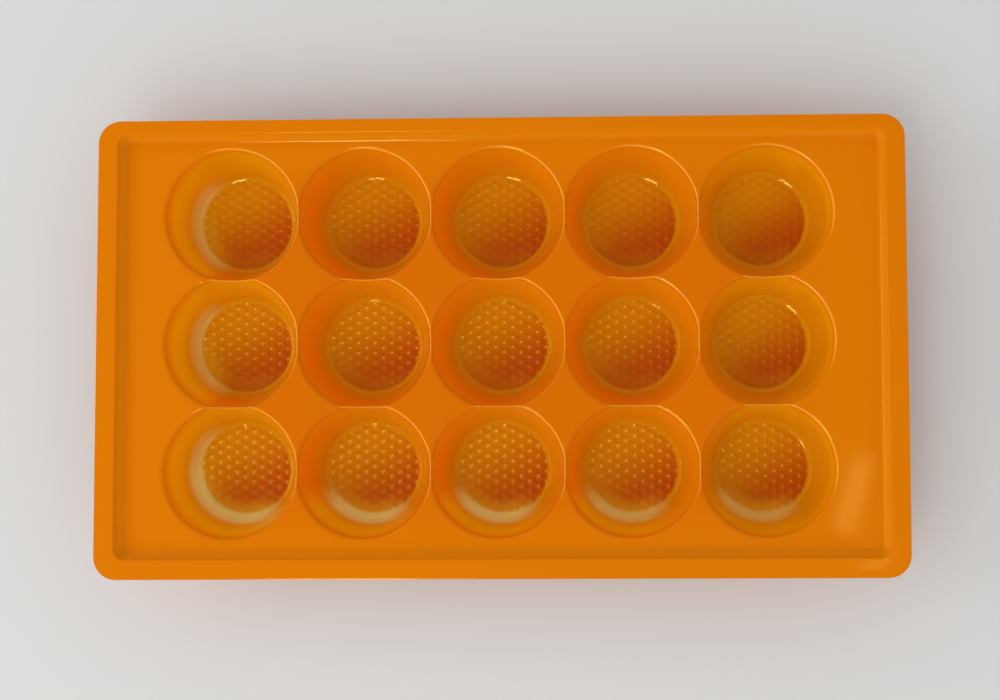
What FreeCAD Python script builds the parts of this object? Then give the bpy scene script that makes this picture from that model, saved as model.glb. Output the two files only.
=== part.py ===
import FreeCAD, Part

import math
import os

from FreeCAD import Vector

# Sweets tray, one thermoformed plastic sheet, in millimetres.
# X runs along the tray, Y across it towards the narrow edge of the flange, Z up.
# The origin lies under the middle of the flange, at the level of the cup floors' undersides.

# Sheet
SHEET = 0.5

# Outer flange, seen from above
LENGTH = 250.0
WIDTH = 142.0
OUTER_CORNER = 7.0
FLANGE_SIDE = 6.0
FLANGE_FRONT = 6.0
FLANGE_BACK = 4.2

# Step from the flange down to the deck
STEP_DEPTH = 3.0
STEP_DRAFT = 20.0
STEP_CORNER = 3.6
STEP_LIP_ROUND = 0.5
STEP_FOOT_ROUND = 2.4

# Block of cups drawn down from the deck
COLUMNS = 5
ROWS = 3
COLUMN_PITCH = 41.6
ROW_PITCH = 39.8
BLOCK_X = -0.9
BLOCK_Y = 1.6

# One cup, inside
CUP_MOUTH_RADIUS = 20.8
CUP_DEPTH = 20.0
CUP_DRAFT = 14.0
CUP_RIM_ROUND = 1.0
CUP_FLOOR_ROUND = 1.4

# Dimples in a cup floor: columns along Y, every other column moved by half a pitch
DIMPLE_PITCH = 3.22
DIMPLE_COLUMN_PITCH = 2.68
DIMPLE_DEPTH = 0.45

# Conical faces that make up each round of a cup
RIM_FACES = 2
CORNER_FACES = 1
UNDERSIDE_FACES = 1

# How far cutting tools reach past what they cut
TOOL_REACH = 1.0

# How closely an edge's height is matched when edges are picked
HEIGHT_MATCH = 0.0001

FLOOR_TOP = DIMPLE_DEPTH + SHEET
DECK_TOP = FLOOR_TOP + CUP_DEPTH
FLANGE_TOP = DECK_TOP + STEP_DEPTH


def tangent(degrees):
    """Tangent of an angle in degrees."""
    return math.tan(math.radians(degrees))


def polar(centre, radius, degrees):
    """Point in the XZ plane at an angle from a centre."""
    angle = math.radians(degrees)
    return Vector(centre.x + radius * math.cos(angle), 0, centre.z + radius * math.sin(angle))


def rounded_outline(inset, z, corner):
    """Closed wire of the step at a height, moved inwards from the flange's inner edge."""
    left = -LENGTH / 2 + FLANGE_SIDE + inset
    right = LENGTH / 2 - FLANGE_SIDE - inset
    front = -WIDTH / 2 + FLANGE_FRONT + inset
    back = WIDTH / 2 - FLANGE_BACK - inset
    return rounded_rectangle(left, right, front, back, z, corner)


def rounded_rectangle(left, right, front, back, z, corner):
    """Closed wire of four straight edges and four quarter circles."""
    centres = [
        (right - corner, front + corner, -90),
        (right - corner, back - corner, 0),
        (left + corner, back - corner, 90),
        (left + corner, front + corner, 180),
    ]
    arcs = []
    for x, y, start in centres:
        arcs.append(plan_arc(Vector(x, y, z), corner, start))
    edges = []
    for current, following in zip(arcs, arcs[1:] + arcs[:1]):
        edges.append(current)
        edges.append(Part.makeLine(current.lastVertex().Point, following.firstVertex().Point))
    return Part.Wire(edges)


def plan_arc(centre, radius, start):
    """Quarter circle in a level plane, from a start angle in degrees."""
    points = []
    for turn in (0, 45, 90):
        angle = math.radians(start + turn)
        points.append(centre + Vector(radius * math.cos(angle), radius * math.sin(angle), 0))
    return Part.Arc(*points).toShape()


def drafted_pan(depth, offset):
    """Solid under the flange's top: the step outline with draft, offset outwards by offset."""
    slope = tangent(STEP_DRAFT)
    shift = offset / math.cos(math.radians(STEP_DRAFT))
    top_inset = -shift
    foot_inset = depth * slope - shift
    top = rounded_outline(top_inset, FLANGE_TOP, STEP_CORNER - top_inset)
    foot = rounded_outline(foot_inset, FLANGE_TOP - depth, STEP_CORNER - foot_inset)
    return Part.makeLoft([foot, top], True, True)


def edges_at(shape, z):
    """Edges that lie wholly at one height."""
    found = []
    for edge in shape.Edges:
        box = edge.BoundBox
        if abs(box.ZMin - z) < HEIGHT_MATCH and abs(box.ZMax - z) < HEIGHT_MATCH:
            found.append(edge)
    return found


def step_lip_edges(shape):
    """Edges where the flange's top meets the step."""
    outer_x = LENGTH / 2 - FLANGE_SIDE / 2
    outer_y = WIDTH / 2 - min(FLANGE_BACK, FLANGE_FRONT) / 2
    found = []
    for edge in edges_at(shape, FLANGE_TOP):
        middle = edge.CenterOfMass
        if abs(middle.x) < outer_x and abs(middle.y) < outer_y:
            found.append(edge)
    return found


def make_flange_and_deck():
    """The sheet before the cups: flange, step and deck."""
    outline = rounded_rectangle(
        -LENGTH / 2, LENGTH / 2, -WIDTH / 2, WIDTH / 2, FLANGE_TOP - SHEET, OUTER_CORNER
    )
    flange = Part.Face(outline).extrude(Vector(0, 0, SHEET))
    underside = drafted_pan(STEP_DEPTH + SHEET, SHEET)
    underside = underside.makeFillet(
        STEP_FOOT_ROUND + SHEET, edges_at(underside, DECK_TOP - SHEET)
    )
    recess = drafted_pan(STEP_DEPTH, 0)
    recess = recess.makeFillet(STEP_FOOT_ROUND, edges_at(recess, DECK_TOP))
    pan = flange.fuse(underside).cut(recess)
    return pan.makeFillet(STEP_LIP_ROUND, step_lip_edges(pan))


def round_points(centre, radius, start, end, faces):
    """Points on an arc in the XZ plane, the ends of a number of straight faces."""
    return [polar(centre, radius, start + (end - start) * i / faces) for i in range(faces + 1)]


def rim_centre():
    """Middle of the round between a cup's wall and the deck."""
    draft = math.radians(CUP_DRAFT)
    x = CUP_MOUTH_RADIUS + CUP_RIM_ROUND / math.cos(draft) - CUP_RIM_ROUND * math.tan(draft)
    return Vector(x, 0, DECK_TOP - CUP_RIM_ROUND)


def corner_centre():
    """Middle of the round between a cup's floor and its wall."""
    draft = math.radians(CUP_DRAFT)
    height = CUP_DEPTH - CUP_FLOOR_ROUND
    x = CUP_MOUTH_RADIUS - CUP_FLOOR_ROUND / math.cos(draft) - height * math.tan(draft)
    return Vector(x, 0, FLOOR_TOP + CUP_FLOOR_ROUND)


def half_section(points, floor_z, top_z):
    """Face between the axis and a profile that runs from the floor to the mouth."""
    rim_top = points[-1]
    outline = [Vector(0, 0, floor_z)] + points
    outline.append(Vector(rim_top.x, 0, top_z))
    outline.append(Vector(0, 0, top_z))
    return Part.Face(Part.makePolygon(outline + outline[:1]))


def cup_inside():
    """Space inside a cup, open past the flange."""
    corner = round_points(corner_centre(), CUP_FLOOR_ROUND, -90, -CUP_DRAFT, CORNER_FACES)
    rim = round_points(rim_centre(), CUP_RIM_ROUND, 180 - CUP_DRAFT, 90, RIM_FACES)
    section = half_section(corner + rim, FLOOR_TOP, FLANGE_TOP + TOOL_REACH)
    return section.revolve(Vector(0, 0, 0), Vector(0, 0, 1), 360)


def cup_outside():
    """A cup's outer form, up into the thickness of the deck."""
    wall_foot = polar(corner_centre(), CUP_FLOOR_ROUND + SHEET, -CUP_DRAFT)
    rim = round_points(
        rim_centre(), CUP_RIM_ROUND - SHEET, 180 - CUP_DRAFT, 90, UNDERSIDE_FACES
    )
    points = [Vector(flat_floor_radius(), 0, 0), wall_foot] + rim
    section = half_section(points, 0, DECK_TOP - SHEET / 2)
    return section.revolve(Vector(0, 0, 0), Vector(0, 0, 1), 360)


def flat_floor_radius():
    """Radius of the flat part of a cup floor, inside its round corner."""
    return corner_centre().x


def cup_centres():
    """Centres of the cups, seen from above."""
    centres = []
    for column in range(COLUMNS):
        for row in range(ROWS):
            x = BLOCK_X + (column - (COLUMNS - 1) / 2) * COLUMN_PITCH
            y = BLOCK_Y + (row - (ROWS - 1) / 2) * ROW_PITCH
            centres.append(Vector(x, y, 0))
    return centres


def dimple_centres():
    """Centres of the dimples in one floor, as pairs of column and half row numbers."""
    cell_radius = 2 * DIMPLE_COLUMN_PITCH / 3
    reach = flat_floor_radius() - cell_radius
    half_pitch = DIMPLE_PITCH / 2
    columns = int(reach / DIMPLE_COLUMN_PITCH)
    rows = int(reach / half_pitch)
    centres = []
    for column in range(-columns, columns + 1):
        for row in range(-rows, rows + 1):
            distance = math.hypot(column * DIMPLE_COLUMN_PITCH, row * half_pitch)
            if (column + row) % 2 == 0 and distance <= reach:
                centres.append((column, row))
    return centres


def make_dimple_tool():
    """Tool for one floor: six-sided hollows that share their edges, under a flat block."""
    pit_z = FLOOR_TOP - DIMPLE_DEPTH
    top_z = FLOOR_TOP + TOOL_REACH
    third = DIMPLE_COLUMN_PITCH / 3
    half_pitch = DIMPLE_PITCH / 2
    # Corners of a cell, in thirds of a column pitch and quarters of a pitch
    corners = [(2, 0), (1, 2), (-1, 2), (-2, 0), (-1, -2), (1, -2)]
    faces = []
    walls = {}
    for column, row in dimple_centres():
        middle = Vector(column * DIMPLE_COLUMN_PITCH, row * half_pitch, pit_z)
        keys = [(3 * column + a, 2 * row + b) for a, b in corners]
        for first, second in zip(keys, keys[1:] + keys[:1]):
            faces.append(facet([
                middle, ridge_point(second, FLOOR_TOP), ridge_point(first, FLOOR_TOP)
            ]))
            if (second, first) in walls:
                del walls[(second, first)]
            else:
                walls[(first, second)] = True
    for first, second in walls:
        faces.append(facet([
            ridge_point(first, FLOOR_TOP),
            ridge_point(second, FLOOR_TOP),
            ridge_point(second, top_z),
            ridge_point(first, top_z),
        ]))
    faces.append(facet([ridge_point(key, top_z) for key in outline_keys(walls)]))
    return Part.Solid(Part.Shell(faces))


def outline_keys(walls):
    """Corner keys round the field of dimples, in order."""
    following = dict(walls.keys())
    start = next(iter(following))
    keys = [start]
    while following[keys[-1]] != start:
        keys.append(following[keys[-1]])
    return keys


def ridge_point(key, z):
    """Corner of a dimple cell at a height."""
    return Vector(key[0] * DIMPLE_COLUMN_PITCH / 3, key[1] * DIMPLE_PITCH / 4, z)


def facet(points):
    """Flat face through points."""
    return Part.Face(Part.makePolygon(points + points[:1]))


def placed_copies(shape):
    """One copy of a shape at each cup."""
    copies = []
    for centre in cup_centres():
        copy = shape.copy()
        copy.translate(centre)
        copies.append(copy)
    return copies


def make_tray():
    """The whole tray as one solid."""
    tray = make_flange_and_deck()
    tray = tray.fuse(placed_copies(cup_outside()))
    tray = tray.cut(placed_copies(cup_inside()))
    tray = tray.cut(placed_copies(make_dimple_tool()))
    return tray.removeSplitter()


def main():
    """Build the tray and write it."""
    os.makedirs("parts", exist_ok=True)
    tray = make_tray()
    solids = tray.Solids
    print("solids", len(solids), "valid", tray.isValid(), "volume", round(tray.Volume, 1))
    print("box", tray.BoundBox)
    solids[0].exportStep("parts/tray.step")


main()
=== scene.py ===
"""Sweets tray: one thin glossy orange sheet with fifteen dimple-floored cups."""

import logging
import math
from collections.abc import Callable
from dataclasses import dataclass, field
from enum import Enum

import bpy
from mathutils import Euler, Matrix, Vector

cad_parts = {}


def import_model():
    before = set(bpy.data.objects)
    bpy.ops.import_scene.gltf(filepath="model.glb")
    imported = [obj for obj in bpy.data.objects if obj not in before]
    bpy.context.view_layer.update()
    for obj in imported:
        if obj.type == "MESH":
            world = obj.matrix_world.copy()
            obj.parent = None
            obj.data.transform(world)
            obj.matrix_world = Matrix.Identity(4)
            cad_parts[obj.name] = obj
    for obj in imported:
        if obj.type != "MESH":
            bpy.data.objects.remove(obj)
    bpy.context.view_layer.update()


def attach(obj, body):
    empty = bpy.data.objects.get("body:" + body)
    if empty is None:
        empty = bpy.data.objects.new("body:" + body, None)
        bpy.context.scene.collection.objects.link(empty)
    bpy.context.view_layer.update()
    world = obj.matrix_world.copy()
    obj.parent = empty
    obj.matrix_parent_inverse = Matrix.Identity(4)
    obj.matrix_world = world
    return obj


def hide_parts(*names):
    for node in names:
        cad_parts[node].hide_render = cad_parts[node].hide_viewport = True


LOG = logging.getLogger("sweets_tray")
MM = 0.001
WELD = 0.01 * MM
FINE_WELD = 0.001 * MM
CUT_THRESHOLD = 0.0005 * MM

Point = tuple[float, float]
Span = tuple[float, float]
Place = tuple[float, float, float]
Colour = tuple[float, float, float, float]
Piece = bpy.types.Object
Socket = bpy.types.NodeSocket


class Side(Enum):
    """The four sides of a cup's cell, as the direction that each one faces."""

    LEFT = (-1, 0)
    RIGHT = (1, 0)
    FRONT = (0, -1)
    BACK = (0, 1)


class Surface(Enum):
    """The material slots of the tray, in their order."""

    SHEET = 0
    CUT_EDGE = 1
    UNDERSIDE = 2


@dataclass(frozen=True)
class TrayMeasures:
    """The tray's main sizes in millimetres."""

    length: float = 250.0
    width: float = 142.0
    outer_corner: float = 7.0
    flange_side: float = 6.0
    flange_front: float = 6.0
    flange_back: float = 4.2
    flange_top: float = 23.95
    deck_top: float = 20.95
    floor_top: float = 0.95
    columns: int = 5
    rows: int = 3
    column_pitch: float = 41.6
    row_pitch: float = 39.8
    block_x: float = -0.9
    block_y: float = 1.6

    def cup_centre(self, column: int, row: int) -> Point:
        """Place of a cup, seen from above.

        Args:
            column: Number of the column, from the left.
            row: Number of the row, from the front.

        Returns:
            X and Y of the cup's middle in millimetres.
        """
        x = self.block_x + (column - (self.columns - 1) / 2) * self.column_pitch
        y = self.block_y + (row - (self.rows - 1) / 2) * self.row_pitch
        return x, y


class Bench:
    """Selecting and shaping by Blender's own operators, in millimetres."""

    @staticmethod
    def clear_selection() -> None:
        """Leave edit mode and deselect every object."""
        if bpy.context.object is not None and bpy.context.object.mode != "OBJECT":
            bpy.ops.object.mode_set(mode="OBJECT")
        bpy.ops.object.select_all(action="DESELECT")

    @staticmethod
    def take(piece: Piece) -> None:
        """Make one object the selected and active one.

        Args:
            piece: The object to work on.
        """
        Bench.clear_selection()
        piece.select_set(True)
        bpy.context.view_layer.objects.active = piece

    @staticmethod
    def edit(piece: Piece, kind: str = "VERT") -> None:
        """Enter edit mode on one object.

        Args:
            piece: The object to edit.
            kind: VERT, EDGE or FACE selection.
        """
        Bench.take(piece)
        bpy.ops.object.mode_set(mode="EDIT")
        bpy.ops.mesh.select_mode(type=kind)

    @staticmethod
    def pick_all(kind: str | None = None) -> None:
        """Select the whole mesh that is being edited.

        Args:
            kind: VERT, EDGE or FACE selection, or none to keep the present one.
        """
        if kind is not None:
            bpy.ops.mesh.select_mode(type=kind)
        bpy.ops.mesh.select_all(action="SELECT")

    @staticmethod
    def weld(distance: float) -> None:
        """Merge vertices of the edited mesh that lie closer than a distance in metres."""
        Bench.pick_all()
        bpy.ops.mesh.remove_doubles(threshold=distance)

    @staticmethod
    def face_outwards() -> None:
        """Turn every face of the edited mesh the same way out."""
        Bench.pick_all()
        bpy.ops.mesh.normals_make_consistent(inside=False)

    @staticmethod
    def pick_vertices(piece: Piece, test: Callable[[Vector], bool]) -> None:
        """Select the vertices whose place passes a test.

        Args:
            piece: An object in edit mode.
            test: Says of a place in metres whether it is wanted.
        """
        bpy.ops.mesh.select_mode(type="VERT")
        bpy.ops.mesh.select_all(action="DESELECT")
        bpy.ops.object.mode_set(mode="OBJECT")
        for vertex in piece.data.vertices:
            vertex.select = test(vertex.co)
        bpy.ops.object.mode_set(mode="EDIT")

    @staticmethod
    def pick_open_edges(piece: Piece, test: Callable[[Vector], bool]) -> None:
        """Select the edges with a face on one side only, whose two ends pass a test.

        Args:
            piece: An object in edit mode.
            test: Says of a place in metres whether it is wanted.
        """
        bpy.ops.mesh.select_mode(type="EDGE")
        bpy.ops.mesh.select_all(action="DESELECT")
        bpy.ops.object.mode_set(mode="OBJECT")
        mesh = piece.data
        uses: dict[tuple[int, int], int] = {}
        for polygon in mesh.polygons:
            for key in polygon.edge_keys:
                uses[key] = uses.get(key, 0) + 1
        for edge in mesh.edges:
            ends = [mesh.vertices[index].co for index in edge.vertices]
            edge.select = uses.get(edge.key, 0) == 1 and all(test(end) for end in ends)
        bpy.ops.object.mode_set(mode="EDIT")

    @staticmethod
    def bridge_level(piece: Piece, height: float) -> None:
        """Fill the gap between the two open loops that lie at one height.

        Args:
            piece: The object to work on.
            height: Height of both loops in millimetres.
        """
        Bench.edit(piece)
        level = height * MM
        Bench.pick_open_edges(piece, lambda place: abs(place.z - level) < WELD)
        bpy.ops.mesh.bridge_edge_loops()

    @staticmethod
    def cut_away(piece: Piece, place: Vector, facing: Vector) -> None:
        """Cut a whole mesh along a plane and drop what lies on the facing side.

        Args:
            piece: Not used; the cut works on the mesh that is being edited.
            place: A point of the plane in metres.
            facing: The plane's normal.
        """
        Bench.pick_all()
        bpy.ops.mesh.bisect(
            plane_co=place, plane_no=facing, clear_outer=True, threshold=CUT_THRESHOLD
        )

    @staticmethod
    def duplicate(piece: Piece, name: str) -> Piece:
        """Copy an object with a mesh of its own.

        Args:
            piece: The object to copy.
            name: Name of the copy.

        Returns:
            The copy, linked to the scene.
        """
        copy = piece.copy()
        copy.data = piece.data.copy()
        copy.name = name
        bpy.context.scene.collection.objects.link(copy)
        return copy

    @staticmethod
    def join(pieces: list[Piece], name: str) -> Piece:
        """Join objects into the first one.

        Args:
            pieces: The objects to join.
            name: Name of the result.

        Returns:
            The joined object.
        """
        Bench.take(pieces[0])
        for piece in pieces[1:]:
            piece.select_set(True)
        bpy.ops.object.join()
        pieces[0].name = name
        return pieces[0]

    @staticmethod
    def apply_place(piece: Piece) -> None:
        """Put an object's place, turn and scale into its mesh.

        Args:
            piece: The object to work on.
        """
        Bench.take(piece)
        bpy.ops.object.transform_apply(location=True, rotation=True, scale=True)

    @staticmethod
    def apply_modifiers(piece: Piece) -> None:
        """Apply every modifier in order.

        Args:
            piece: The object to work on.
        """
        Bench.take(piece)
        for modifier in list(piece.modifiers):
            bpy.ops.object.modifier_apply(modifier=modifier.name)

    @staticmethod
    def move(x: float = 0.0, y: float = 0.0, z: float = 0.0) -> None:
        """Move what is selected, by millimetres."""
        bpy.ops.transform.translate(value=(x * MM, y * MM, z * MM))


@dataclass
class DimpleField:
    """The round dimples of one cup floor, in columns along Y."""

    measures: TrayMeasures
    pitch: float = 3.22
    column_pitch: float = 2.68
    depth: float = 0.32
    radius: float = 14.5
    corners: int = 6
    axis_reach: float = 0.1
    bowl_insets: Span = (0.4, 0.55)
    bowl_falls: Span = (0.5, 0.37)

    def build(self, sides: int) -> Piece:
        """Make the dimpled disc of a floor, trimmed where the wall begins.

        Args:
            sides: How many straight cuts trim the disc.

        Returns:
            The open sheet of dimples, at the floor's height.
        """
        cell = self._cell()
        pair = Bench.duplicate(cell, "dimple_beside")
        Bench.edit(pair)
        Bench.pick_all()
        Bench.move(x=self.column_pitch, y=self.pitch / 2)
        sheet = Bench.join([cell, pair], "dimples")
        self._lay_out(sheet)
        self._trim(sheet, sides)
        return sheet

    def _cell(self) -> Piece:
        """Model one dimple in its six-sided cell.

        Returns:
            The cell, round the origin, at the floor's height.
        """
        bpy.ops.mesh.primitive_circle_add(
            vertices=self.corners,
            radius=self.column_pitch * 2 / 3 * MM,
            fill_type="NGON",
            location=(0, 0, self.measures.floor_top * MM),
        )
        cell = bpy.context.object
        Bench.apply_place(cell)
        Bench.edit(cell)
        self._square_up(cell)
        Bench.pick_all("EDGE")
        bpy.ops.mesh.subdivide(number_cuts=1)
        Bench.pick_all("FACE")
        for inset, fall in zip(self.bowl_insets, self.bowl_falls):
            bpy.ops.mesh.inset(thickness=inset * MM, depth=0, use_even_offset=True)
            Bench.move(z=-fall * self.depth)
        bpy.ops.mesh.poke(offset=0)
        Bench.pick_vertices(cell, lambda place: place.xy.length < self.axis_reach * MM)
        Bench.move(z=-(1 - sum(self.bowl_falls)) * self.depth)
        self._round_rings(cell)
        return cell

    def _square_up(self, cell: Piece) -> None:
        """Turn the hexagon's corners to ±X and set its height to the pitch.

        Args:
            cell: The six-sided face of one dimple.
        """
        Bench.clear_selection()
        for index, vertex in enumerate(cell.data.vertices):
            angle = math.tau * index / self.corners
            vertex.co.x = self.column_pitch * 2 / 3 * math.cos(angle) * MM
            vertex.co.y = self.pitch / math.sqrt(3) * math.sin(angle) * MM
        Bench.edit(cell)

    def _round_rings(self, cell: Piece) -> None:
        """Make the bowl's rings round, each at its own mean radius.

        Args:
            cell: The finished bowl in its cell.
        """
        Bench.clear_selection()
        rim = self.measures.floor_top * MM
        rings: dict[int, list[bpy.types.MeshVertex]] = {}
        for vertex in cell.data.vertices:
            drop = rim - vertex.co.z
            if drop > WELD and vertex.co.xy.length > self.axis_reach * MM:
                rings.setdefault(round(drop / WELD), []).append(vertex)
        for ring in rings.values():
            mean = sum(vertex.co.xy.length for vertex in ring) / len(ring)
            for vertex in ring:
                vertex.co.xy = vertex.co.xy.normalized() * mean

    def _lay_out(self, sheet: Piece) -> None:
        """Repeat a pair of dimples over the whole floor.

        Args:
            sheet: Two neighbouring dimples round the origin.
        """
        across = math.ceil(self.radius / self.column_pitch / 2) + 1
        along = math.ceil(self.radius / self.pitch) + 1
        steps = (
            (2 * across, (2 * self.column_pitch * MM, 0, 0)),
            (2 * along + 1, (0, self.pitch * MM, 0)),
        )
        Bench.take(sheet)
        for count, step in steps:
            array = sheet.modifiers.new("repeat", "ARRAY")
            array.count = count
            array.use_relative_offset = False
            array.use_constant_offset = True
            array.constant_offset_displace = step
        Bench.apply_modifiers(sheet)
        Bench.edit(sheet)
        Bench.pick_all()
        Bench.move(x=-2 * across * self.column_pitch, y=-along * self.pitch)
        Bench.weld(WELD)

    def _trim(self, sheet: Piece, sides: int) -> None:
        """Cut the dimples to a round disc.

        Args:
            sheet: The sheet of dimples, in edit mode.
            sides: How many straight cuts trim it.
        """
        reach = self.radius * math.cos(math.pi / sides) * MM
        for number in range(sides):
            angle = math.tau * (number + 0.5) / sides
            facing = Vector((math.cos(angle), math.sin(angle), 0))
            Bench.cut_away(sheet, facing * reach, facing)


@dataclass
class Cup:
    """One cup of the tray with the deck round it, as an open sheet."""

    measures: TrayMeasures
    sides: int = 56
    mouth_radius: float = 20.8
    draft: float = 14.0
    rim_round: float = 1.25
    floor_round: float = 1.4
    rim_steps: int = 4
    floor_steps: int = 4
    flat_band: float = 0.25
    deck_reach: float = 36.0
    foot_reach: float = 0.1

    def build(self) -> Piece:
        """Make the cup round the origin, floor and deck included.

        Returns:
            The cup's upper face as an open sheet.
        """
        wall = self._wall()
        floor = DimpleField(self.measures).build(self.sides)
        cup = Bench.join([wall, floor], "cup")
        Bench.edit(cup)
        foot = (self._profile()[0][0] + self.foot_reach) * MM
        Bench.pick_open_edges(cup, lambda place: place.xy.length < foot)
        bpy.ops.mesh.bridge_edge_loops()
        Bench.clear_selection()
        return cup

    def _profile(self) -> list[Point]:
        """Half section from the floor's edge over the rim to the deck.

        Returns:
            Radius and height of each point in millimetres.
        """
        draft = math.radians(self.draft)
        depth = self.measures.deck_top - self.measures.floor_top
        corner_x = (
            self.mouth_radius
            - self.floor_round / math.cos(draft)
            - (depth - self.floor_round) * math.tan(draft)
        )
        corner_z = self.measures.floor_top + self.floor_round
        rim_slant = self.rim_round / math.cos(draft) - self.rim_round * math.tan(draft)
        rim_x = self.mouth_radius + rim_slant
        rim_z = self.measures.deck_top - self.rim_round
        points = []
        for step in range(self.floor_steps + 1):
            angle = -math.pi / 2 + (math.pi / 2 - draft) * step / self.floor_steps
            points.append((
                corner_x + self.floor_round * math.cos(angle),
                corner_z + self.floor_round * math.sin(angle),
            ))
        for step in range(self.rim_steps + 1):
            angle = math.pi - draft - (math.pi / 2 - draft) * step / self.rim_steps
            points.append((
                rim_x + self.rim_round * math.cos(angle),
                rim_z + self.rim_round * math.sin(angle),
            ))
        points.append((rim_x + self.flat_band, self.measures.deck_top))
        points.append((self.deck_reach, self.measures.deck_top))
        return points

    def _wall(self) -> Piece:
        """Extrude the half section point by point and spin it round the axis.

        Returns:
            The wall, rim and deck round the origin.
        """
        profile = self._profile()
        bpy.ops.mesh.primitive_plane_add(size=MM, location=(0, 0, 0))
        wall = bpy.context.object
        wall.name = "cup_wall"
        Bench.edit(wall)
        Bench.pick_all()
        bpy.ops.mesh.merge(type="CENTER")
        Bench.move(x=profile[0][0], z=profile[0][1])
        for (x, z), (next_x, next_z) in zip(profile, profile[1:]):
            bpy.ops.mesh.extrude_region_move(
                TRANSFORM_OT_translate={"value": ((next_x - x) * MM, 0, (next_z - z) * MM)}
            )
        Bench.pick_all()
        bpy.ops.mesh.spin(steps=self.sides, angle=math.tau, center=(0, 0, 0), axis=(0, 0, 1))
        Bench.weld(FINE_WELD)
        Bench.face_outwards()
        Bench.clear_selection()
        return wall


@dataclass
class CupBlock:
    """All the cups, cut where their rims meet, with a straight margin round them."""

    measures: TrayMeasures
    side_margin: float = 23.4
    end_margin: float = 22.0

    def build(self) -> Piece:
        """Copy one cup to every place and join the copies.

        Returns:
            The block of cups as one open sheet.
        """
        pattern = Cup(self.measures).build()
        cups = []
        for column in range(self.measures.columns):
            for row in range(self.measures.rows):
                cups.append(self._placed(pattern, column, row))
        bpy.data.objects.remove(pattern)
        block = Bench.join(cups, "cup_block")
        Bench.edit(block)
        Bench.weld(WELD)
        Bench.clear_selection()
        return block

    def _placed(self, pattern: Piece, column: int, row: int) -> Piece:
        """Copy the cup, cut its cell out and move it to its place.

        Args:
            pattern: The cup round the origin.
            column: Number of the column, from the left.
            row: Number of the row, from the front.

        Returns:
            The cup's cell in its place.
        """
        cup = Bench.duplicate(pattern, f"cup_{column + 1}_{row + 1}")
        Bench.edit(cup)
        for side in Side:
            x, y = side.value
            facing = Vector((x, y, 0))
            Bench.cut_away(cup, facing * self._reach(side, column, row) * MM, facing)
        Bench.pick_all()
        x, y = self.measures.cup_centre(column, row)
        Bench.move(x=x, y=y)
        Bench.clear_selection()
        return cup

    def _reach(self, side: Side, column: int, row: int) -> float:
        """How far a cup's cell reaches to one side.

        Args:
            side: The side of the cell.
            column: Number of the column, from the left.
            row: Number of the row, from the front.

        Returns:
            The distance from the cup's axis in millimetres.
        """
        outer = {
            Side.LEFT: column == 0,
            Side.RIGHT: column == self.measures.columns - 1,
            Side.FRONT: row == 0,
            Side.BACK: row == self.measures.rows - 1,
        }[side]
        if side in (Side.LEFT, Side.RIGHT):
            return self.side_margin if outer else self.measures.column_pitch / 2
        return self.end_margin if outer else self.measures.row_pitch / 2


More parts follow.
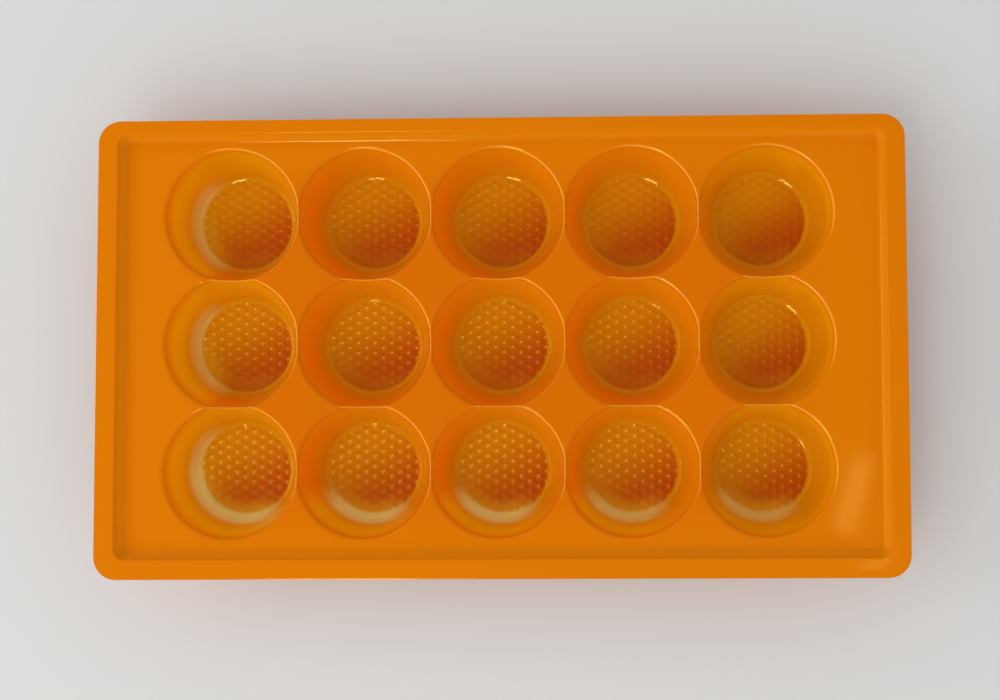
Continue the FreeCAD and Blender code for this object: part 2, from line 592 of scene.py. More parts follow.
@dataclass
class FlangeAndStep:
    """The flat flange round the tray and the step down to the deck."""

    measures: TrayMeasures
    step_corner: float = 3.6
    step_draft: float = 20.0
    lip_round: float = 0.5
    foot_round: float = 2.6
    lip_steps: int = 3
    foot_steps: int = 5
    corner_steps: int = 9
    flat_band: float = 0.3
    edge_band: float = 0.4
    edge_fall: float = 0.08

    def build(self) -> Piece:
        """Make the flange and the step, open towards the cups.

        Returns:
            The flange and step as one open sheet.
        """
        step = self._step()
        flange = self._flange_edge()
        frame = Bench.join([step, flange], "flange")
        Bench.bridge_level(frame, self.measures.flange_top)
        Bench.clear_selection()
        return frame

    def _profile(self) -> list[Point]:
        """Section across the step, from the flange to the deck.

        Returns:
            Distance inwards from the lip and height over the flange's top, in millimetres.
        """
        draft = math.radians(self.step_draft)
        turn = math.pi / 2 - draft
        drop = self.measures.flange_top - self.measures.deck_top
        lip = self.lip_round * math.tan(turn / 2)
        foot = self.foot_round * math.tan(turn / 2)
        points = [(-lip - self.flat_band, 0.0)]
        for step in range(self.lip_steps + 1):
            angle = turn * step / self.lip_steps
            points.append((
                -lip + self.lip_round * math.sin(angle),
                -self.lip_round * (1 - math.cos(angle)),
            ))
        foot_x = drop * math.tan(draft) + foot
        for step in range(self.foot_steps + 1):
            angle = turn * (1 - step / self.foot_steps)
            points.append((
                foot_x - self.foot_round * math.sin(angle),
                -drop + self.foot_round * (1 - math.cos(angle)),
            ))
        points.append((foot_x + self.flat_band, -drop))
        return points

    def _rounded_plane(
        self, low: Point, high: Point, corner: float, height: float, name: str
    ) -> Piece:
        """Add a plane and bevel its corners round.

        Args:
            low: Lowest X and Y in millimetres.
            high: Highest X and Y in millimetres.
            corner: Radius of the corners in millimetres.
            height: Height in millimetres.
            name: Name of the object.

        Returns:
            A flat face with round corners.
        """
        middle = ((low[0] + high[0]) / 2 * MM, (low[1] + high[1]) / 2 * MM, height * MM)
        bpy.ops.mesh.primitive_plane_add(size=1, location=middle)
        plane = bpy.context.object
        plane.name = name
        plane.scale = ((high[0] - low[0]) * MM, (high[1] - low[1]) * MM, 1)
        Bench.apply_place(plane)
        Bench.edit(plane)
        Bench.pick_all()
        bpy.ops.mesh.bevel(
            affect="VERTICES", offset=corner * MM, segments=self.corner_steps, profile=0.5
        )
        return plane

    def _step(self) -> Piece:
        """Inset the step's outline along its section.

        Returns:
            The step from the lip to its foot, open inside.
        """
        profile = self._profile()
        start = profile[0][0]
        half_x = self.measures.length / 2 - self.measures.flange_side - start
        front = -self.measures.width / 2 + self.measures.flange_front + start
        back = self.measures.width / 2 - self.measures.flange_back - start
        step = self._rounded_plane(
            (-half_x, front),
            (half_x, back),
            self.step_corner - start,
            self.measures.flange_top,
            "step",
        )
        Bench.pick_all("FACE")
        for (x, z), (next_x, next_z) in zip(profile, profile[1:]):
            bpy.ops.mesh.inset(thickness=(next_x - x) * MM, depth=0, use_even_offset=True)
            Bench.move(z=next_z - z)
        bpy.ops.mesh.delete(type="FACE")
        Bench.clear_selection()
        return step

    def _flange_edge(self) -> Piece:
        """Make the outer edge of the flange with its trimmed band.

        Returns:
            A narrow band round the flange, open inside.
        """
        half = (self.measures.length / 2, self.measures.width / 2)
        edge = self._rounded_plane(
            (-half[0], -half[1]),
            half,
            self.measures.outer_corner,
            self.measures.flange_top - self.edge_fall,
            "flange_edge",
        )
        Bench.pick_all("FACE")
        bpy.ops.mesh.inset(thickness=self.edge_band * MM, depth=0, use_even_offset=True)
        Bench.move(z=self.edge_fall)
        bpy.ops.mesh.delete(type="FACE")
        Bench.clear_selection()
        for polygon in edge.data.polygons:
            polygon.material_index = Surface.CUT_EDGE.value
        return edge


@dataclass
class Tray:
    """The whole tray: cups, deck, step and flange as one sheet with its thickness."""

    measures: TrayMeasures = field(default_factory=TrayMeasures)
    sheet: float = 0.46
    smooth_angle: float = 60.0

    def build(self) -> Piece:
        """Model the tray.

        Returns:
            The finished tray at the origin.
        """
        cups = CupBlock(self.measures).build()
        frame = FlangeAndStep(self.measures).build()
        tray = Bench.join([frame, cups], "tray_sheet")
        self._bridge_deck(tray)
        self._thicken(tray)
        return tray

    def _bridge_deck(self, tray: Piece) -> None:
        """Fill the deck between the block of cups and the foot of the step.

        Args:
            tray: The open sheet of cups, step and flange.
        """
        Bench.bridge_level(tray, self.measures.deck_top)
        Bench.face_outwards()
        Bench.clear_selection()

    def _thicken(self, tray: Piece) -> None:
        """Give the sheet its thickness and smooth its shading.

        Args:
            tray: The whole open sheet.
        """
        for _ in Surface:
            tray.data.materials.append(None)
        Bench.take(tray)
        solidify = tray.modifiers.new("sheet", "SOLIDIFY")
        solidify.thickness = self.sheet * MM
        solidify.offset = -1
        solidify.use_even_offset = True
        solidify.use_quality_normals = True
        solidify.material_offset = Surface.UNDERSIDE.value
        solidify.material_offset_rim = Surface.CUT_EDGE.value
        Bench.apply_modifiers(tray)
        Bench.take(tray)
        bpy.ops.object.shade_smooth_by_angle(angle=math.radians(self.smooth_angle))
        flats = tray.modifiers.new("flats", "WEIGHTED_NORMAL")
        flats.keep_sharp = True
        Bench.apply_modifiers(tray)


class NodeSheet:
    """Short ways to lay out shader nodes in one tree."""

    # Places of the two colours and of their mix among a Mix node's sockets
    FIRST_COLOUR = 6
    SECOND_COLOUR = 7
    MIXED_COLOUR = 2

    def __init__(self, tree: bpy.types.NodeTree) -> None:
        """Keep the tree that the nodes go in."""
        self.tree = tree

    def add(self, kind: str, **settings: object) -> bpy.types.Node:
        """Add a node.

        Args:
            kind: The node's type name.
            settings: Properties to set on it.

        Returns:
            The node.
        """
        node = self.tree.nodes.new(kind)
        for name, value in settings.items():
            setattr(node, name, value)
        return node

    def link(self, source: Socket, target: Socket) -> None:
        """Join two sockets.

        Args:
            source: The output.
            target: The input.
        """
        self.tree.links.new(source, target)

    def feed(self, value: object, target: Socket) -> None:
        """Link a socket to the target, or set a plain value on it.

        Args:
            value: A socket or a plain value.
            target: The input.
        """
        if isinstance(value, Socket):
            self.link(value, target)
        else:
            target.default_value = value

    def split(self, vector: Socket) -> bpy.types.Node:
        """Separate a vector into X, Y and Z.

        Args:
            vector: The vector's socket.

        Returns:
            The node with the three outputs.
        """
        node = self.add("ShaderNodeSeparateXYZ")
        self.link(vector, node.inputs["Vector"])
        return node

    def calculate(self, operation: str, *values: object) -> Socket:
        """Add a Math node.

        Args:
            operation: The node's operation.
            values: Sockets or numbers for its inputs, in order.

        Returns:
            The result.
        """
        node = self.add("ShaderNodeMath", operation=operation)
        for value, target in zip(values, node.inputs):
            self.feed(value, target)
        return node.outputs[0]

    def smooth(self, value: object, start: object, end: object) -> Socket:
        """Rise smoothly from 0 at start to 1 at end, which may lie below start.

        Args:
            value: The value that is read.
            start: Where the result is 0.
            end: Where the result is 1.

        Returns:
            The result.
        """
        span = self.calculate("SUBTRACT", end, start)
        share = self.calculate("DIVIDE", self.calculate("SUBTRACT", value, start), span)
        node = self.add("ShaderNodeMapRange", interpolation_type="SMOOTHSTEP", clamp=True)
        self.link(share, node.inputs["Value"])
        return node.outputs["Result"]

    def lean(self, cup: bpy.types.Node, x: float, y: float) -> Socket:
        """How far a point lies towards one side of its cup.

        Args:
            cup: A cup place group node.
            x: Part of the side's direction along X.
            y: Part of the side's direction along Y.

        Returns:
            From about -1 on the far side to 1 on that side.
        """
        along_x = self.calculate("MULTIPLY", cup.outputs["Side X"], x)
        along_y = self.calculate("MULTIPLY", cup.outputs["Side Y"], y)
        return self.calculate("ADD", along_x, along_y)

    def blend(self, share: object, first: object, second: object) -> Socket:
        """Mix two colours.

        Args:
            share: How much of the second colour there is.
            first: First colour or socket.
            second: Second colour or socket.

        Returns:
            The mixed colour.
        """
        node = self.add("ShaderNodeMix", data_type="RGBA")
        self.feed(share, node.inputs["Factor"])
        self.feed(first, node.inputs[self.FIRST_COLOUR])
        self.feed(second, node.inputs[self.SECOND_COLOUR])
        return node.outputs[self.MIXED_COLOUR]

    def bump(
        self, height: Socket, shader: bpy.types.Node, strength: float, depth: float
    ) -> None:
        """Roughen a shader's normal.

        Args:
            height: Height of the unevenness, from 0 to about 1.
            shader: The surface shader.
            strength: How much of the bump shows.
            depth: Depth of the unevenness in millimetres.
        """
        node = self.add("ShaderNodeBump")
        node.inputs["Strength"].default_value = strength
        node.inputs["Distance"].default_value = depth * MM
        self.link(height, node.inputs["Height"])
        self.link(node.outputs["Normal"], shader.inputs["Normal"])


def start_finish(name: str) -> tuple[bpy.types.Material, NodeSheet, bpy.types.Node]:
    """Start a node-based material.

    Args:
        name: The material's name.

    Returns:
        The material, its node sheet and its surface shader.
    """
    material = bpy.data.materials.new(name)
    material.use_nodes = True
    return material, NodeSheet(material.node_tree), material.node_tree.nodes["Principled BSDF"]


class SharedEffects:
    """Shader node groups that the finishes share, each built once."""

    @staticmethod
    def start(
        name: str, inputs: dict[str, float], outputs: tuple[str, ...]
    ) -> tuple[NodeSheet, bpy.types.Node, bpy.types.Node]:
        """Start a group with number inputs and outputs.

        Args:
            name: The group's name.
            inputs: Name and first value of each input.
            outputs: Names of the outputs.

        Returns:
            The group's node sheet, and its input and output nodes.
        """
        tree = bpy.data.node_groups.new(name, "ShaderNodeTree")
        for label, value in inputs.items():
            socket = tree.interface.new_socket(label, in_out="INPUT", socket_type="NodeSocketFloat")
            socket.default_value = value
        for label in outputs:
            tree.interface.new_socket(label, in_out="OUTPUT", socket_type="NodeSocketFloat")
        sheet = NodeSheet(tree)
        return sheet, sheet.add("NodeGroupInput"), sheet.add("NodeGroupOutput")

    @classmethod
    def cup_place(cls, measures: TrayMeasures) -> bpy.types.NodeTree:
        """Where a point lies round the axis of its own cup, from Object coordinates.

        Args:
            measures: The tray's sizes.

        Returns:
            A group with the distance from the axis in metres, the two parts of the direction
            away from it, and the distance from the nearest plane between two cups.
        """
        name = "cup place"
        if name in bpy.data.node_groups:
            return bpy.data.node_groups[name]
        first_x, first_y = measures.cup_centre(0, 0)
        inputs = {
            "First X": first_x * MM,
            "First Y": first_y * MM,
            "Column Pitch": measures.column_pitch * MM,
            "Row Pitch": measures.row_pitch * MM,
            "Last Column": measures.columns - 1,
            "Last Row": measures.rows - 1,
        }
        sheet, given, made = cls.start(name, inputs, ("Radius", "Side X", "Side Y", "Seam"))
        place = sheet.split(sheet.add("ShaderNodeTexCoord").outputs["Object"])
        away = []
        seams = []
        for axis, kind in (("X", "Column"), ("Y", "Row")):
            offset = sheet.calculate("SUBTRACT", place.outputs[axis], given.outputs[f"First {axis}"])
            pitch = given.outputs[f"{kind} Pitch"]
            seams.append(cls._seam(sheet, offset, pitch, given.outputs[f"Last {kind}"]))
            number = sheet.calculate("ROUND", sheet.calculate("DIVIDE", offset, pitch))
            number = sheet.calculate("MAXIMUM", number, 0.0)
            number = sheet.calculate("MINIMUM", number, given.outputs[f"Last {kind}"])
            centre = sheet.calculate("MULTIPLY", number, pitch)
            away.append(sheet.calculate("SUBTRACT", offset, centre))
        squares = [sheet.calculate("MULTIPLY", value, value) for value in away]
        radius = sheet.calculate("SQRT", sheet.calculate("ADD", *squares))
        sheet.link(radius, made.inputs["Radius"])
        for value, label in zip(away, ("Side X", "Side Y")):
            sheet.link(sheet.calculate("DIVIDE", value, radius), made.inputs[label])
        sheet.link(sheet.calculate("MINIMUM", *seams), made.inputs["Seam"])
        return sheet.tree

    @staticmethod
    def _seam(
        sheet: NodeSheet, offset: object, pitch: object, last: object
    ) -> Socket:
        """Distance from the nearest plane between two cups of a line.

        Args:
            sheet: The group's node sheet.
            offset: Distance past the first cup's axis.
            pitch: Distance between two cups.
            last: Number of the last cup.

        Returns:
            The distance in metres, at least half a pitch beyond the outer cups.
        """
        share = sheet.calculate("DIVIDE", offset, pitch)
        number = sheet.calculate("MAXIMUM", sheet.calculate("FLOOR", share), 0.0)
        number = sheet.calculate("MINIMUM", number, sheet.calculate("SUBTRACT", last, 1.0))
        past = sheet.calculate("SUBTRACT", sheet.calculate("SUBTRACT", share, number), 0.5)
        return sheet.calculate("MULTIPLY", sheet.calculate("ABSOLUTE", past), pitch)

    @classmethod
    def fine_grain(cls) -> bpy.types.NodeTree:
        """Fine and broad unevenness of the moulded surface, from Object coordinates.

        Returns:
            A group with the joint height and both layers.
        """
        name = "fine grain"
        if name in bpy.data.node_groups:
            return bpy.data.node_groups[name]
        inputs = {"Fine Scale": 1400.0, "Broad Scale": 55.0, "Broad Share": 0.35}
        sheet, given, made = cls.start(name, inputs, ("Height", "Fine", "Broad"))
        place = sheet.add("ShaderNodeTexCoord").outputs["Object"]
        layers = []
        for label in ("Fine Scale", "Broad Scale"):
            noise = sheet.add("ShaderNodeTexNoise")
            sheet.link(place, noise.inputs["Vector"])
            sheet.link(given.outputs[label], noise.inputs["Scale"])
            noise.inputs["Detail"].default_value = 1.0
            layers.append(noise.outputs["Fac"])
        fine, broad = layers
        share = sheet.calculate("MULTIPLY", broad, given.outputs["Broad Share"])
        sheet.link(sheet.calculate("ADD", fine, share), made.inputs["Height"])
        sheet.link(fine, made.inputs["Fine"])
        sheet.link(broad, made.inputs["Broad"])
        return sheet.tree

    @classmethod
    def specks(cls) -> bpy.types.NodeTree:
        """A few tiny pale specks scattered over the surface, from Object coordinates.

        Returns:
            A group with the specks' mask.
        """
        name = "specks"
        if name in bpy.data.node_groups:
            return bpy.data.node_groups[name]
        inputs = {"Scale": 75.0, "Size": 0.022, "Rarity": 0.9}
        sheet, given, made = cls.start(name, inputs, ("Mask",))
        cells = sheet.add("ShaderNodeTexVoronoi")
        sheet.link(sheet.add("ShaderNodeTexCoord").outputs["Object"], cells.inputs["Vector"])
        sheet.link(given.outputs["Scale"], cells.inputs["Scale"])
        dot = sheet.calculate("LESS_THAN", cells.outputs["Distance"], given.outputs["Size"])
        chance = sheet.split(cells.outputs["Color"]).outputs["X"]
        rare = sheet.calculate("GREATER_THAN", chance, given.outputs["Rarity"])
        sheet.link(sheet.calculate("MULTIPLY", dot, rare), made.inputs["Mask"])
        return sheet.tree


@dataclass(frozen=True)
class SheetZones:
    """Where the colour and gloss of the sheet change, as spans that end where the change is full.

    Heights, rings and distances are in millimetres, and leans run from -1 to 1 across a cup.
    """

    foot_radius: float = 14.9

    # Heights over the deck
    inside: Span = (-0.2, -2.2)
    deeper: Span = (-0.5, -6.0)
    wall_top: Span = (-1.0, -3.0)
    rim_start: Span = (-0.02, -0.12)
    rim_end: Span = (-0.42, -0.26)
    saddle: Span = (-0.15, -0.5)
    step_foot: Span = (0.2, 1.4)
    step_lip: Span = (2.95, 2.3)

    # Heights over the table
    wall_foot: Span = (2.2, 3.5)
    thinning: Span = (12.0, 2.0)
    olive_height: Span = (6.0, 3.0)
    pale_height: Span = (8.0, 2.6)
    floor_height: float = 3.0

    # Rings round a cup's axis, from the foot's radius
    floor_ring: Span = (0.0, -1.0)
    olive_ring: Span = (-7.0, -1.5)
    pale_ring: Span = (-0.9, 0.5)
    pale_widening: float = 0.9

    # Distance from the plane between two cups
    seam: Span = (0.3, 0.09)

    # Directions in a cup, and the lean or the distance towards them
    shade_side: Point = (-0.75, -0.65)
    shade_lean: Span = (-0.55, 0.85)
    glint_side: Point = (0.75, 0.65)
    glint_lean: Span = (0.35, 0.8)
    olive_side: Point = (-0.55, -0.85)
    olive_lean: Span = (0.0, 0.7)
    pale_side: Point = (-0.8, -0.6)
    pale_lean: Span = (-0.3, 0.45)
    floor_shade_side: Point = (0.55, -0.85)
    floor_shade_distance: Span = (-11.0, 12.0)
    matt_side: Point = (-0.15, -0.95)
    matt_distance: Span = (1.0, 7.5)

    # Distances from the axes of the first or last cups
    outer_left: Span = (-4.0, -12.0)
    outer_front: Span = (-4.0, -13.0)
    outer_right: Span = (4.0, 13.0)
    last_column: Span = (-19.5, -21.5)
    end_columns: Span = (-21.0, -17.0)
    front_row: Span = (8.0, -5.0)
    pale_fading: Span = (5.0, -97.3)

    # Distances from the tray's middle
    middle_across: Span = (108.0, 70.0)
    middle_along: Span = (62.0, 45.0)

    # Least and most shares of an effect
    shade_shares: Span = (0.55, 1.0)
    thin_shares: Span = (0.75, 1.0)
    olive_shares: Span = (0.3, 0.9)
    pale_front_shares: Span = (0.5, 0.95)
    pale_row_shares: Span = (0.55, 1.0)


class SheetMasks:
    """Masks from 0 to 1 over the sheet, by a point's place and by where it lies in its cup."""

    def __init__(self, sheet: NodeSheet, measures: TrayMeasures, zones: SheetZones) -> None:
        """Read the point's place once for every mask.

        Args:
            sheet: The material's node sheet.
            measures: The tray's sizes.
            zones: Where the masks rise.
        """
        self.sheet = sheet
        self.zones = zones
        self.deck_top = measures.deck_top
        self.first_x, self.first_y = measures.cup_centre(0, 0)
        self.last_x, _ = measures.cup_centre(measures.columns - 1, 0)
        place = sheet.split(sheet.add("ShaderNodeTexCoord").outputs["Object"])
        self.x, self.y, self.z = place.outputs
        self.cup = sheet.add("ShaderNodeGroup", node_tree=SharedEffects.cup_place(measures))
        self.radius = self.cup.outputs["Radius"]

    def rise(self, value: object, span: Span, base: float = 0.0) -> Socket:
        """Rise smoothly over a span.

        Args:
            value: A socket in metres.
            span: Where the mask is 0 and where it is 1, in millimetres from the base.
            base: Where the span is measured from, in millimetres.

        Returns:
            The mask.
        """
        return self.sheet.smooth(value, (base + span[0]) * MM, (base + span[1]) * MM)

    def over_deck(self, span: Span) -> Socket:
        """Rise by the height over the deck."""
        return self.rise(self.z, span, self.deck_top)

    def lean(self, side: Point, span: Span) -> Socket:
        """Rise by the lean towards one side of the cup."""
        return self.sheet.smooth(self.sheet.lean(self.cup, *side), *span)

    def reach(self, side: Point, span: Span) -> Socket:
        """Rise by the distance from the cup's axis towards one side."""
        return self.rise(self.both(self.sheet.lean(self.cup, *side), self.radius), span)

    def both(self, first: object, second: object) -> Socket:
        """Keep what two masks share, or a part of one mask."""
        return self.sheet.calculate("MULTIPLY", first, second)

    def either(self, first: object, second: object) -> Socket:
        """Keep the fuller of two masks."""
        return self.sheet.calculate("MAXIMUM", first, second)

    def share(self, mask: object, shares: Span) -> Socket:
        """Turn a mask into a share that never falls to 0.

        Args:
            mask: The mask.
            shares: The share where the mask is 0 and where it is 1.

        Returns:
            The share.
        """
        least, most = shares
        return self.sheet.calculate("ADD", self.both(mask, most - least), least)

    def floor(self) -> Socket:
        """Full on the dimpled floors of the cups.

        Returns:
            The mask.
        """
        within = self.rise(self.radius, self.zones.floor_ring, self.zones.foot_radius)
        low = self.sheet.calculate("LESS_THAN", self.z, self.zones.floor_height * MM)
        return self.both(within, low)

    def matt_floor(self) -> Socket:
        """Full on the front part of the cups' floors, where no dimple glints."""
        return self.both(self.reach(self.zones.matt_side, self.zones.matt_distance), self.floor())

    def wall(self) -> Socket:
        """Full on the walls of the cups, none on their rims and at their foot."""
        return self.both(self.over_deck(self.zones.wall_top), self.rise(self.z, self.zones.wall_foot))

    def outer(self) -> Socket:
        """Full on the outer side of the first column and the front row.

        Returns:
            The mask.
        """
        left = self.rise(self.x, self.zones.outer_left, self.first_x)
        front = self.rise(self.y, self.zones.outer_front, self.first_y)
        return self.either(left, front)

    def right(self) -> Socket:
        """Full on the outer side of the last column."""
        return self.rise(self.x, self.zones.outer_right, self.last_x)

    def end_columns(self) -> Socket:
        """Full in the first and last column.

        Returns:
            The mask.
        """
        middle = (self.first_x + self.last_x) / 2
        half = (self.last_x - self.first_x) / 2
        aside = self.sheet.calculate("ABSOLUTE", self.sheet.calculate("SUBTRACT", self.x, middle * MM))
        return self.rise(aside, self.zones.end_columns, half)

    def middle(self) -> Socket:
        """Full round the tray's middle, none towards its edges.

        Returns:
            The mask.
        """
        across = self.rise(self.sheet.calculate("ABSOLUTE", self.x), self.zones.middle_across)
        along = self.rise(self.sheet.calculate("ABSOLUTE", self.y), self.zones.middle_along)
        return self.both(across, along)

    def pale(self) -> Socket:
        """Full where painted light shines through the thinnest places: the foot of the walls on the
        outer side of the block.

        Returns:
            The mask.
        """
        zones = self.zones
        front = self.rise(self.y, zones.front_row, self.first_y)
        widened = self.sheet.calculate("ADD", self.radius, self.both(front, zones.pale_widening * MM))
        ring = self.rise(widened, zones.pale_ring, zones.foot_radius)
        low = self.rise(self.z, zones.pale_height)
        foot = self.both(self.both(ring, low), self.share(front, zones.pale_front_shares))
        side = self.both(self.outer(), self.lean(zones.pale_side, zones.pale_lean))
        fading = self.share(self.rise(self.x, zones.pale_fading, self.last_x), zones.pale_row_shares)
        return self.both(self.both(foot, side), fading)


@dataclass(frozen=True)
class OrangeSheet:
    """Glossy orange plastic: redder inside the cups from painted bounce light and painted shade, with
    painted highlights on rims and saddles, olive where it was drawn thin, and pale crescents of
    painted light shining through the thin sheet.
    """

    measures: TrayMeasures
    zones: SheetZones = SheetZones()
    name: str = "orange_plastic"
    deck_colour: Colour = (0.82, 0.21, 0.0005, 1)
    inner_colour: Colour = (0.775, 0.17, 0.0005, 1)
    # Painted light: the lit side of the cup walls, more olive in the end columns.
    lit_colour: Colour = (0.83, 0.255, 0.0005, 1)
    # Painted bounce light: the shaded side of the cup walls, brighter and redder.
    shade_bounce_colour: Colour = (1.0, 0.24, 0.0005, 1)
    # Painted light let through the sheet: the shaded walls of the outer cups, left and front, then the
    # right column.
    outer_shade_colour: Colour = (1.0, 0.44, 0.0005, 1)
    right_shade_colour: Colour = (0.77, 0.28, 0.0005, 1)
    thin_colour: Colour = (0.84, 0.35, 0.0005, 1)
    # Painted shade on the cups' floors, towards the front right.
    floor_shade_colour: Colour = (0.6, 0.1, 0.0005, 1)
    # Olive floor edge: the thinner sheet's tint with painted light let through it, strongest on the
    # outer cups.
    edge_colour: Colour = (0.88, 0.44, 0.01, 1)
    # Painted light shining through the thin sheet at the foot of the outer cups.
    pale_glow_colour: Colour = (1.0, 0.88, 0.3, 1)
    speck_colour: Colour = (0.9, 0.62, 0.36, 1)
    # Painted highlight on the saddles and on the lit side of the rims.
    painted_highlight_colour: Colour = (1.0, 0.46, 0.06, 1)
    tint: Colour = (1.0, 0.76, 0.16, 1)
    specular: float = 0.3
    roughness: float = 0.06
    roughness_spread: float = 0.06
    floor_roughness: float = 0.22
    front_dulling: float = 0.2
    wall_share: float = 0.75
    end_share: float = 0.7
    band_share: float = 0.4
    glint_share: float = 0.6
    bump_strength: float = 0.5
    bump_height: float = 0.003

    def build(self) -> bpy.types.Material:
        """Make the material.

        Returns:
            The finish for the whole sheet.
        """
        material, sheet, shader = start_finish(self.name)
        shader.inputs["Specular IOR Level"].default_value = self.specular
        shader.inputs["Specular Tint"].default_value = self.tint
        masks = SheetMasks(sheet, self.measures, self.zones)
        specks = sheet.add("ShaderNodeGroup", node_tree=SharedEffects.specks())
        colour = sheet.blend(specks.outputs["Mask"], self._colour(masks), self.speck_colour)
        sheet.link(colour, shader.inputs["Base Color"])
        grain = sheet.add("ShaderNodeGroup", node_tree=SharedEffects.fine_grain())
        spread = masks.both(grain.outputs["Fine"], self.roughness_spread)
        drawn = masks.either(masks.floor(), masks.both(masks.wall(), self.wall_share))
        duller = masks.both(drawn, self.floor_roughness - self.roughness)
        fading = masks.both(masks.matt_floor(), self.front_dulling)
        rough = sheet.calculate("ADD", spread, self.roughness - self.roughness_spread / 2)
        rough = sheet.calculate("ADD", rough, sheet.calculate("ADD", duller, fading))
        sheet.link(rough, shader.inputs["Roughness"])
        sheet.bump(grain.outputs["Height"], shader, self.bump_strength, self.bump_height)
        return material

    def _colour(self, masks: SheetMasks) -> Socket:
        """Colour of the sheet by where it lies in its cup.

        Args:
            masks: The masks over the sheet.

        Returns:
            The colour socket.
        """
        sides = masks.either(masks.outer(), masks.right())
        colour = self._walls(masks, sides)
        colour = self._floors(masks, colour)
        colour = self._lines(masks, colour)
        return self._thin_places_and_glow(masks, sides, colour)

    def _walls(self, masks: SheetMasks, sides: Socket) -> Socket:
        """Colour of the deck and of the cups' walls: painted light on the lit side, and painted bounce
        light, redder, on the shaded side.

        Args:
            masks: The masks over the sheet.
            sides: Mask of the block's outer sides.

        Returns:
            The colour socket.
        """
        zones = self.zones
        blend = masks.sheet.blend
        inside = masks.over_deck(zones.inside)
        deeper = masks.over_deck(zones.deeper)
        deep_right = masks.both(masks.right(), deeper)
        # Shaded side: painted bounce light, and painted light let through the sheet on the outer cups.
        shade_side_colour = blend(masks.both(sides, deeper), self.shade_bounce_colour, self.outer_shade_colour)
        shade_side_colour = blend(deep_right, shade_side_colour, self.right_shade_colour)
        others = masks.share(masks.rise(masks.x, zones.last_column, masks.last_x), zones.shade_shares)
        shaded = masks.both(masks.lean(zones.shade_side, zones.shade_lean), others)
        shaded = masks.either(masks.both(inside, shaded), deep_right)
        deck = blend(masks.middle(), self.deck_colour, self.inner_colour)
        ends = masks.both(masks.end_columns(), self.end_share)
        # Lit side: painted light.
        lit = blend(inside, deck, blend(ends, self.lit_colour, self.thin_colour))
        colour = blend(shaded, lit, shade_side_colour)
        thin = masks.both(masks.rise(masks.z, zones.thinning), masks.share(sides, zones.thin_shares))
        return blend(thin, colour, self.thin_colour)

    def _floors(self, masks: SheetMasks, colour: Socket) -> Socket:
        """Add the cups' floors, with painted shade that makes them deeper in colour towards the front
        right.

        Args:
            masks: The masks over the sheet.
            colour: The colour so far.

        Returns:
            The colour socket.
        """
        # Painted shade, darker towards the front right of each floor.
        shade_on_floor = masks.reach(self.zones.floor_shade_side, self.zones.floor_shade_distance)
        floor = masks.sheet.blend(shade_on_floor, self.thin_colour, self.floor_shade_colour)
        return masks.sheet.blend(masks.floor(), colour, floor)

    def _lines(self, masks: SheetMasks, colour: Socket) -> Socket:
        """Add the olive band of the step, and painted highlights as pale lines on the saddles and the
        lit rims.

        Args:
            masks: The masks over the sheet.
            colour: The colour so far.

        Returns:
            The colour socket.
        """
        zones = self.zones
        blend = masks.sheet.blend
        band = masks.both(masks.over_deck(zones.step_foot), masks.over_deck(zones.step_lip))
        colour = blend(masks.both(band, self.band_share), colour, self.thin_colour)
        # Painted highlight along the saddles between cups.
        near = masks.rise(masks.cup.outputs["Seam"], zones.seam)
        seam = masks.both(near, masks.over_deck(zones.saddle))
        colour = blend(seam, colour, self.painted_highlight_colour)
        # Painted highlight on the lit side of the rims.
        rim = masks.both(masks.over_deck(zones.rim_start), masks.over_deck(zones.rim_end))
        glint = masks.both(rim, masks.lean(zones.glint_side, zones.glint_lean))
        return blend(masks.both(glint, self.glint_share), colour, self.painted_highlight_colour)

    def _thin_places_and_glow(
        self, masks: SheetMasks, sides: Socket, colour: Socket
    ) -> Socket:
        """Add the olive edge of the floors, the thinner sheet's tint with painted light let through
        it, and the pale crescents of the outer cups, painted light shining through the thin sheet.

        Args:
            masks: The masks over the sheet.
            sides: Mask of the block's outer sides.
            colour: The colour so far.

        Returns:
            The colour socket.
        """
        zones = self.zones
        # Olive edge: the thinner sheet's tint with painted light let through it.
        ring = masks.rise(masks.radius, zones.olive_ring, zones.foot_radius)
        olive = masks.both(ring, masks.lean(zones.olive_side, zones.olive_lean))
        olive = masks.both(olive, masks.rise(masks.z, zones.olive_height))
        olive = masks.both(olive, masks.share(sides, zones.olive_shares))
        colour = masks.sheet.blend(olive, colour, self.edge_colour)
        # Pale crescents: painted light shining through the thin sheet.
        return masks.sheet.blend(masks.pale(), colour, self.pale_glow_colour)


@dataclass(frozen=True)
class OrangeUnderside(OrangeSheet):
    """The sheet seen from below and outside: the same plastic, more even in colour."""

    name: str = "orange_underside"
    thin_span: Span = (14.0, 1.0)
    thin_share: float = 0.7

    def _colour(self, masks: SheetMasks) -> Socket:
        """Colour of the sheet's outer face, a little thinner towards the foot of the cups.

        Args:
            masks: The masks over the sheet.

        Returns:
            The colour socket.
        """
        thin = masks.both(masks.rise(masks.z, self.thin_span), self.thin_share)
        return masks.sheet.blend(thin, self.deck_colour, self.thin_colour)


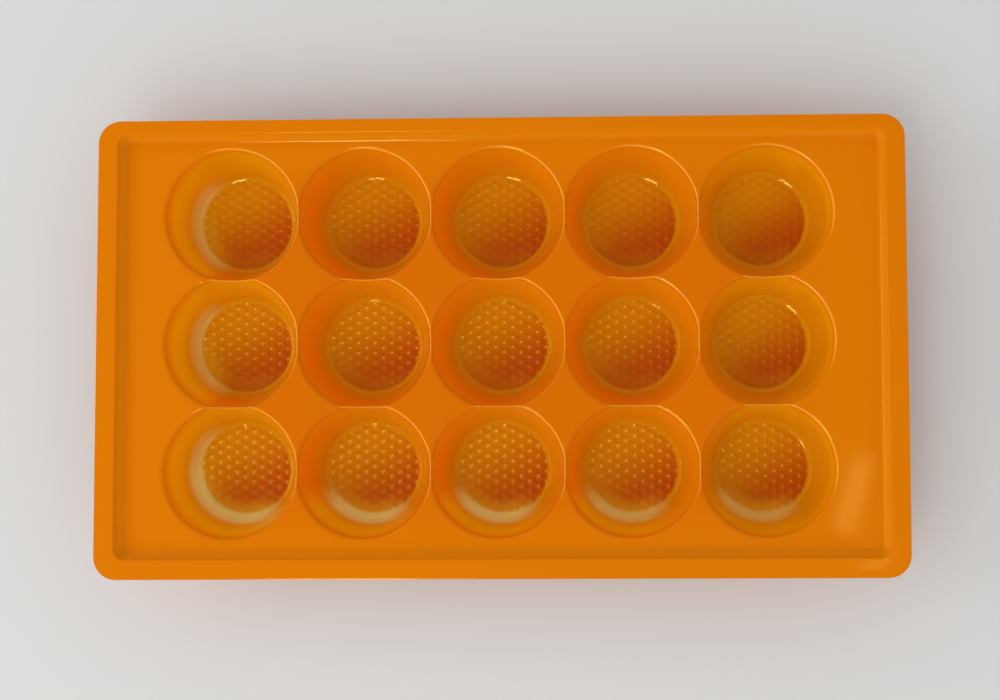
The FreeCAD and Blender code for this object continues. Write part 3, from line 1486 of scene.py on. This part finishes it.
@dataclass(frozen=True)
class CutEdge:
    """The pale, slightly rough line where the sheet was trimmed."""

    name: str = "trimmed_edge"
    colour: Colour = (0.5, 0.27, 0.09, 1)
    light_colour: Colour = (0.68, 0.45, 0.22, 1)
    roughness: float = 0.3
    roughness_spread: float = 0.3
    bump_strength: float = 0.5
    bump_height: float = 0.02

    def build(self) -> bpy.types.Material:
        """Make the material.

        Returns:
            The finish for the trimmed edge.
        """
        material, sheet, shader = start_finish(self.name)
        grain = sheet.add("ShaderNodeGroup", node_tree=SharedEffects.fine_grain())
        colour = sheet.blend(grain.outputs["Fine"], self.colour, self.light_colour)
        sheet.link(colour, shader.inputs["Base Color"])
        spread = sheet.calculate("MULTIPLY", grain.outputs["Broad"], self.roughness_spread)
        sheet.link(sheet.calculate("ADD", spread, self.roughness), shader.inputs["Roughness"])
        sheet.bump(grain.outputs["Height"], shader, self.bump_strength, self.bump_height)
        return material


@dataclass(frozen=True)
class PaleFloor:
    """Plain pale matt floor of the studio."""

    name: str = "pale_floor"
    colour: Colour = (0.76, 0.755, 0.74, 1)
    far_colour: Colour = (0.79, 0.785, 0.77, 1)
    cloud_scale: float = 3.0
    roughness: float = 0.8

    def build(self) -> bpy.types.Material:
        """Make the material.

        Returns:
            The finish for the floor.
        """
        material, sheet, shader = start_finish(self.name)
        grain = sheet.add("ShaderNodeGroup", node_tree=SharedEffects.fine_grain())
        grain.inputs["Broad Scale"].default_value = self.cloud_scale
        colour = sheet.blend(grain.outputs["Broad"], self.colour, self.far_colour)
        sheet.link(colour, shader.inputs["Base Color"])
        shader.inputs["Roughness"].default_value = self.roughness
        return material


@dataclass(frozen=True)
class AreaLamp:
    """One soft lamp, aimed at a point of the tray, that lights it, shines in its gloss, or both."""

    name: str
    place: Place
    target: Place
    size: Span
    power: float
    lights: bool = True
    shines: bool = True

    def build(self) -> None:
        """Put the lamp in the scene."""
        data = bpy.data.lights.new(self.name, "AREA")
        data.shape = "RECTANGLE"
        data.size, data.size_y = self.size
        data.energy = self.power
        lamp = bpy.data.objects.new(self.name, data)
        bpy.context.scene.collection.objects.link(lamp)
        lamp.location = self.place
        lamp.visible_diffuse = self.lights
        lamp.visible_glossy = self.shines
        aim = Vector(self.target) - Vector(self.place)
        lamp.rotation_euler = aim.to_track_quat("-Z", "Y").to_euler()


@dataclass
class Studio:
    """Floor, lamps, world and camera."""

    camera_place: Place = (0.04045, -0.02601, 0.46485)
    camera_turn: Place = (0.0544, 0.0243, -0.0051)
    lens: float = 51.871
    sensor: float = 36.0
    shift: Point = (-0.09661, 0.00196)
    clip: Span = (0.01, 20.0)
    floor_size: float = 6.0
    floor_drop: float = 0.0002
    side_light: float = 1.4
    far_light: float = 1.0
    top_light: float = 0.36
    overhead: Span = (0.88, 0.45)
    horizon: Span = (0.05, 0.45)
    leftward: Span = (1.1, -1.1)
    lamps: tuple[AreaLamp, ...] = (
        AreaLamp("key", (-0.36, -0.565, 1.01), (0, 0, 0.01), (0.8, 0.8), 2.8, shines=False),
        AreaLamp("glints", (-0.25, -0.41, 1.01), (0, 0, 0.01), (0.2, 0.2), 2.6, lights=False),
        AreaLamp("left", (-0.75, 0.02, 0.45), (-0.1, 0, 0.01), (0.35, 0.35), 0.9),
        AreaLamp("streak", (0.243, -0.085, 0.9), (0.107, -0.045, 0.021), (0.07, 0.018), 0.016),
        AreaLamp("corner streak", (0.262, -0.15, 0.9), (0.115, -0.067, 0.024), (0.04, 0.02), 0.008),
    )

    def build(self) -> None:
        """Make everything round the tray."""
        self._floor()
        self._world()
        for lamp in self.lamps:
            lamp.build()
        self._camera()

    def _floor(self) -> None:
        """Add the pale floor under the tray."""
        Bench.clear_selection()
        bpy.ops.mesh.primitive_plane_add(size=self.floor_size, location=(0, 0, -self.floor_drop))
        floor = bpy.context.object
        floor.name = "floor"
        floor.data.materials.append(PaleFloor().build())

    def _world(self) -> None:
        """Light the scene softly from all round, less from straight above."""
        world = bpy.data.worlds.new("studio")
        bpy.context.scene.world = world
        world.use_nodes = True
        sheet = NodeSheet(world.node_tree)
        background = world.node_tree.nodes["Background"]
        background.inputs["Color"].default_value = (1, 1, 1, 1)
        toward = sheet.split(sheet.add("ShaderNodeTexCoord").outputs["Generated"])
        rise = sheet.smooth(toward.outputs["Z"], *self.overhead)
        lean = sheet.calculate("ADD", toward.outputs["X"], toward.outputs["Y"])
        share = sheet.smooth(lean, *self.leftward)
        side = sheet.calculate("MULTIPLY", share, self.side_light - self.far_light)
        side = sheet.calculate("ADD", side, self.far_light - self.top_light)
        low = sheet.smooth(toward.outputs["Z"], *self.horizon)
        strength = sheet.calculate("MULTIPLY", sheet.calculate("MULTIPLY", rise, low), side)
        sheet.link(sheet.calculate("ADD", strength, self.top_light), background.inputs["Strength"])

    def _camera(self) -> None:
        """Place the camera over the tray."""
        data = bpy.data.cameras.new("camera")
        camera = bpy.data.objects.new("camera", data)
        bpy.context.scene.collection.objects.link(camera)
        data.sensor_width = self.sensor
        data.lens = self.lens
        data.shift_x, data.shift_y = self.shift
        data.clip_start, data.clip_end = self.clip
        camera.location = self.camera_place
        camera.rotation_euler = Euler(self.camera_turn)
        bpy.context.scene.camera = camera


def main() -> None:
    """Build the tray and the studio in order."""
    logging.basicConfig(level=logging.INFO, format="%(message)s")
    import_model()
    bpy.context.scene.view_settings.view_transform = "Standard"
    Bench.clear_selection()
    tray = Tray().build()
    tray.data.materials[Surface.SHEET.value] = OrangeSheet(TrayMeasures()).build()
    tray.data.materials[Surface.CUT_EDGE.value] = CutEdge().build()
    tray.data.materials[Surface.UNDERSIDE.value] = OrangeUnderside(TrayMeasures()).build()
    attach(tray, "root")
    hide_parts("tray")
    triangles = sum(len(polygon.vertices) - 2 for polygon in tray.data.polygons)
    LOG.info("%s: %d triangles", tray.name, triangles)
    Studio().build()


if __name__ == "__main__":
    main()
